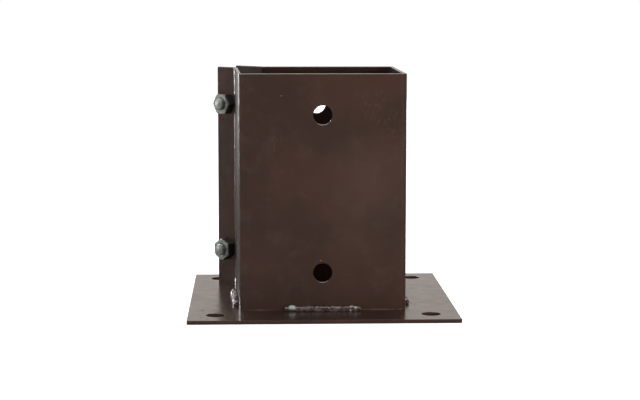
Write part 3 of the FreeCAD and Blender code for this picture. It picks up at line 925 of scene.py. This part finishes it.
def paint_material():
    """Satin brown paint: clouds, dust, scuffs, chips, a painted highlight at the foot and a slight
    orange peel.
    """
    material, tree, shader = start_material("brown_satin_paint")
    if tree is None:
        return material
    tone = colours()
    place = place_of(tree)
    colour_now = scratched_paint(tree, place, tone, clean_paint(tree, place, tone))
    pits = spots_of(tree, place, PITS, edge=0.25)
    colour_now = blend(tree, pits, colour_now, tone.pit)
    colour_now = highlit_foot(tree, place, tone, colour_now)
    roughness = maximum(tree, pattern(tree, place, "paint sheen", *PAINT_ROUGH), pits)
    set_shader(tree, shader, Base_Color=colour_now, Roughness=roughness,
               Normal=grain_of(tree, place, *ORANGE_PEEL))
    return material


def weld_material():
    """The same paint, run thick and glossy over the weld, with painted highlights: pale streaks,
    pale bumps on the left weld and bare bright spots.
    """
    material, tree, shader = start_material("painted_weld_metal")
    if tree is None:
        return material
    tone = colours()
    place = place_of(tree)
    colour_now = blend(tree, pattern(tree, place, "weld clouds"), tone.paint, tone.paint_red)
    # Painted highlights in streaks along the welds
    streaks = pattern(tree, place, "weld streaks", stretch=(0.45, 1, 1))
    colour_now = blend(tree, multiply(tree, streaks, STREAK_SHARE), colour_now, tone.weld_highlight)
    # Painted highlights on the left weld's jagged bumps
    torn = pattern(tree, place, "torn highlights")
    flake_highlights = multiply(tree, spots_of(tree, place, FLAKE_HIGHLIGHTS, edge=0.4), torn)
    colour_now = blend(tree, flake_highlights, colour_now, tone.highlight_and_speck)
    # Bare metal spots on the front weld, with painted highlights
    colour_now = blend(tree, spots_of(tree, place, GLINTS, edge=0.5), colour_now, tone.bare_metal_and_highlight)
    roughness = pattern(tree, place, "weld sheen", *WELD_ROUGH)
    set_shader(tree, shader, Base_Color=colour_now, Roughness=roughness,
               Normal=grain_of(tree, place, *WELD_GRAIN))
    return material


def zinc_material():
    """Dull zinc plate, cloudy, with grime in it, painted shade towards the nuts' seats and a
    painted highlight on the bolts' tips.
    """
    material, tree, shader = start_material("dull_zinc_plate")
    if tree is None:
        return material
    tone = colours()
    place = place_of(tree)
    colour_now = blend(tree, pattern(tree, place, "zinc clouds"), tone.zinc, tone.grime)
    apart = node(tree, "ShaderNodeVectorMath", {0: place, 1: (math.sqrt(0.5), math.sqrt(0.5), 0)},
                 operation="DOT_PRODUCT").outputs["Value"]
    # Painted shade, darker towards the nuts' seats
    seat_shaded = between(tree, apart, *SEAT_SHADE, 0, SEAT_SHADE_SHARE)
    colour_now = blend(tree, seat_shaded, colour_now, tone.seat_shade)
    # Painted highlight on the bolts' tips
    tips = between(tree, apart, *TIP_START, 0, TIP_SHARE)
    colour_now = blend(tree, tips, colour_now, tone.bare_metal_and_highlight)
    roughness = pattern(tree, place, "zinc sheen", *ZINC_ROUGH)
    set_shader(tree, shader, Base_Color=colour_now, Roughness=roughness, Metallic=0.3,
               Normal=grain_of(tree, place, *ZINC_GRAIN))
    return material


# Stage

# Camera as fitted to the photograph: its turns in radians, its lens and sensor in millimetres
CAMERA_PLACE = (-42.9 * MM, -1077.0 * MM, 200.34 * MM)
CAMERA_RIGHT, CAMERA_DOWN, CAMERA_ROLL = 0.04014, 0.1236, 0.00102
LENS, SENSOR = 92.244, 36.0

# Name, place, width, height, power in watts, lights the part, is mirrored in it
LAMPS = (
    ("overhead_softbox", (-0.3, 0.6, 1.4), 1.0, 1.0, 11.0, True, False),
    ("overhead_mirrored", (0, 0.2, 1.6), 2.0, 2.0, 55.0, False, True),
    ("left_key", (-1.7, -0.45, 0.35), 0.4, 0.5, 2.2, True, False),
    ("left_fill", (-1.25, -1.25, 0.14), 1.2, 0.26, 5.0, True, False),
    ("right_fill", (0.42, -0.62, 0.16), 0.4, 0.2, 1.9, True, False),
    ("back_fill", (0.5, 2.0, 0.5), 1.4, 0.6, 14.0, True, False),
    ("rim_strip", (-2.13, 1.3, 0.75), 0.15, 1.5, 110.0, False, True),
)
AIM = Vector((0, 0, 70 * MM))   # where every lamp points
SCATTERED = 0.25                # level of the white surroundings as light on the part
MIRRORED = 0.05                 # level at which the paint mirrors the room's front and sides
BACKDROP_MIRRORED = 0.86        # level at which it mirrors the backdrop
FLOOR_LIFT = 0.84               # level that the floor shows of itself to the camera
FLOOR_MIRRORED = 0.15           # share of the floor's light that the paint mirrors
FAR_FLOOR = (0.4, 2.0)          # depths between which the floor behind the part turns bright in it
WARM = (1, 0.93, 0.87)          # colour of the white surroundings as the paint mirrors them
ROOM = 12                       # width of floor and backdrop


def add_camera():
    clear_piece("photo_camera")
    facing = (Matrix.Rotation(-CAMERA_RIGHT, 3, "Z")
              @ Matrix.Rotation(math.pi / 2 - CAMERA_DOWN, 3, "X")
              @ Matrix.Rotation(CAMERA_ROLL, 3, "Z"))
    bpy.ops.object.camera_add(location=CAMERA_PLACE, rotation=facing.to_euler())
    camera = bpy.context.object
    camera.name = "photo_camera"
    camera.data.sensor_width, camera.data.lens = SENSOR, LENS
    camera.data.clip_start, camera.data.clip_end = 0.01, 60
    bpy.context.scene.camera = camera


def add_lamps():
    for name, place, width, height, power, lights, mirrored in LAMPS:
        clear_piece(name)
        facing = (Vector(place) - AIM).to_track_quat("Z", "Y").to_euler()
        bpy.ops.object.light_add(type="AREA", radius=width, location=place, rotation=facing)
        lamp = bpy.context.object
        lamp.name = lamp.data.name = name
        lamp.data.shape, lamp.data.energy = "RECTANGLE", power
        lamp.data.size, lamp.data.size_y = width, height
        lamp.visible_diffuse, lamp.visible_glossy = lights, mirrored


def light_level(tree, seen, mirrored, scattered):
    """Level for rays from the camera, for mirrored ones, and for light that is scattered."""
    path = node(tree, "ShaderNodeLightPath")
    level = between(tree, path.outputs["Is Glossy Ray"], 0, 1, scattered, mirrored)
    return between(tree, path.outputs["Is Camera Ray"], 0, 1, level, seen)


def make_world():
    """White where it is seen, dim where it is mirrored."""
    world = bpy.data.worlds.get("pale_room") or bpy.data.worlds.new("pale_room")
    world.use_nodes = True
    tree = world.node_tree
    tree.nodes.clear()
    level = light_level(tree, 1, MIRRORED, SCATTERED)
    light = node(tree, "ShaderNodeBackground", {0: (1, 1, 1, 1), 1: level})
    output = node(tree, "ShaderNodeOutputWorld", {"Surface": light.outputs[0]})
    output.is_active_output = True
    bpy.context.scene.world = world


def stage_material(name):
    material = bpy.data.materials.get(name) or bpy.data.materials.new(name)
    material.use_nodes = True
    material.node_tree.nodes.clear()
    return material, material.node_tree


def white_or_warm(tree):
    """White where it is seen, slightly warm where it is mirrored."""
    mirrored = node(tree, "ShaderNodeLightPath").outputs["Is Glossy Ray"]
    return blend(tree, mirrored, (1, 1, 1), WARM)


def backdrop_material():
    """White backdrop, which the plate and the upper edges mirror."""
    material, tree = stage_material("white_backdrop")
    level = light_level(tree, 1, BACKDROP_MIRRORED, SCATTERED)
    glow = node(tree, "ShaderNodeEmission", {0: white_or_warm(tree), 1: level})
    node(tree, "ShaderNodeOutputMaterial", {"Surface": glow.outputs[0]})
    return material


def far_floor(tree):
    """Share that is 1 on the floor well behind the part."""
    parts = node(tree, "ShaderNodeSeparateXYZ", {0: place_of(tree)}).outputs
    return between(tree, parts["Y"], *FAR_FLOOR)


def floor_material():
    """Pale floor that shows white where it is seen and still takes the part's shadow."""
    material, tree = stage_material("pale_floor")
    pale = colours().floor
    mirrored = node(tree, "ShaderNodeLightPath").outputs["Is Glossy Ray"]
    tint = blend(tree, mirrored, pale, tuple(part * FLOOR_MIRRORED for part in pale))
    matte = node(tree, "ShaderNodeBsdfDiffuse", {0: tint})
    level = light_level(tree, FLOOR_LIFT, far_floor(tree), 0)
    glow = node(tree, "ShaderNodeEmission", {0: white_or_warm(tree), 1: level})
    both = node(tree, "ShaderNodeAddShader", {0: matte.outputs[0], 1: glow.outputs[0]})
    node(tree, "ShaderNodeOutputMaterial", {"Surface": both.outputs[0]})
    return material


def add_backdrop():
    clear_piece("white_backdrop")
    bpy.ops.mesh.primitive_plane_add(size=ROOM, location=(0, ROOM / 2, ROOM / 2),
                                     rotation=(math.pi / 2, 0, 0))
    backdrop = take("white_backdrop")
    backdrop.data.materials.append(backdrop_material())


class POSTBASE_OT_stage(bpy.types.Operator):
    """Pale floor, soft lamps and the camera of the photograph"""
    bl_idname = "post_base.stage"
    bl_label = "Stage"
    bl_options = {"REGISTER", "UNDO"}

    def execute(self, context):
        clear_piece("pale_floor")
        bpy.ops.mesh.primitive_plane_add(size=ROOM, location=(0, ROOM / 4, 0))
        floor = take("pale_floor")
        floor.data.materials.append(floor_material())
        add_backdrop()
        make_world()
        add_lamps()
        add_camera()
        context.scene.view_settings.view_transform = "Standard"
        return {"FINISHED"}


class POSTBASE_PT_sidebar(bpy.types.Panel):
    bl_idname = "POSTBASE_PT_sidebar"
    bl_label = "Post base"
    bl_space_type = "VIEW_3D"
    bl_region_type = "UI"
    bl_category = "Post base"

    def draw(self, context):
        for operator in OPERATORS:
            self.layout.operator(operator.bl_idname)
        for group in (sizes(), colours()):
            box = self.layout.box()
            for name in group.__annotations__:
                box.prop(group, name)


OPERATORS = (POSTBASE_OT_stage, POSTBASE_OT_plate, POSTBASE_OT_sleeve, POSTBASE_OT_welds,
             POSTBASE_OT_bolts, POSTBASE_OT_nuts)
CLASSES = (PostBaseSizes, PostBaseColours, *OPERATORS, POSTBASE_PT_sidebar)


def register():
    for kind in CLASSES:
        bpy.utils.register_class(kind)
    bpy.types.Scene.post_base_sizes = PointerProperty(type=PostBaseSizes)
    bpy.types.Scene.post_base_colours = PointerProperty(type=PostBaseColours)


def unregister():
    del bpy.types.Scene.post_base_colours
    del bpy.types.Scene.post_base_sizes
    for kind in reversed(CLASSES):
        bpy.utils.unregister_class(kind)


def main():
    register()
    bpy.ops.post_base.stage()
    bpy.ops.post_base.plate()
    bpy.ops.post_base.sleeve()
    bpy.ops.post_base.welds()
    bpy.ops.post_base.bolts()
    bpy.ops.post_base.nuts()


if __name__ == "__main__":
    main()
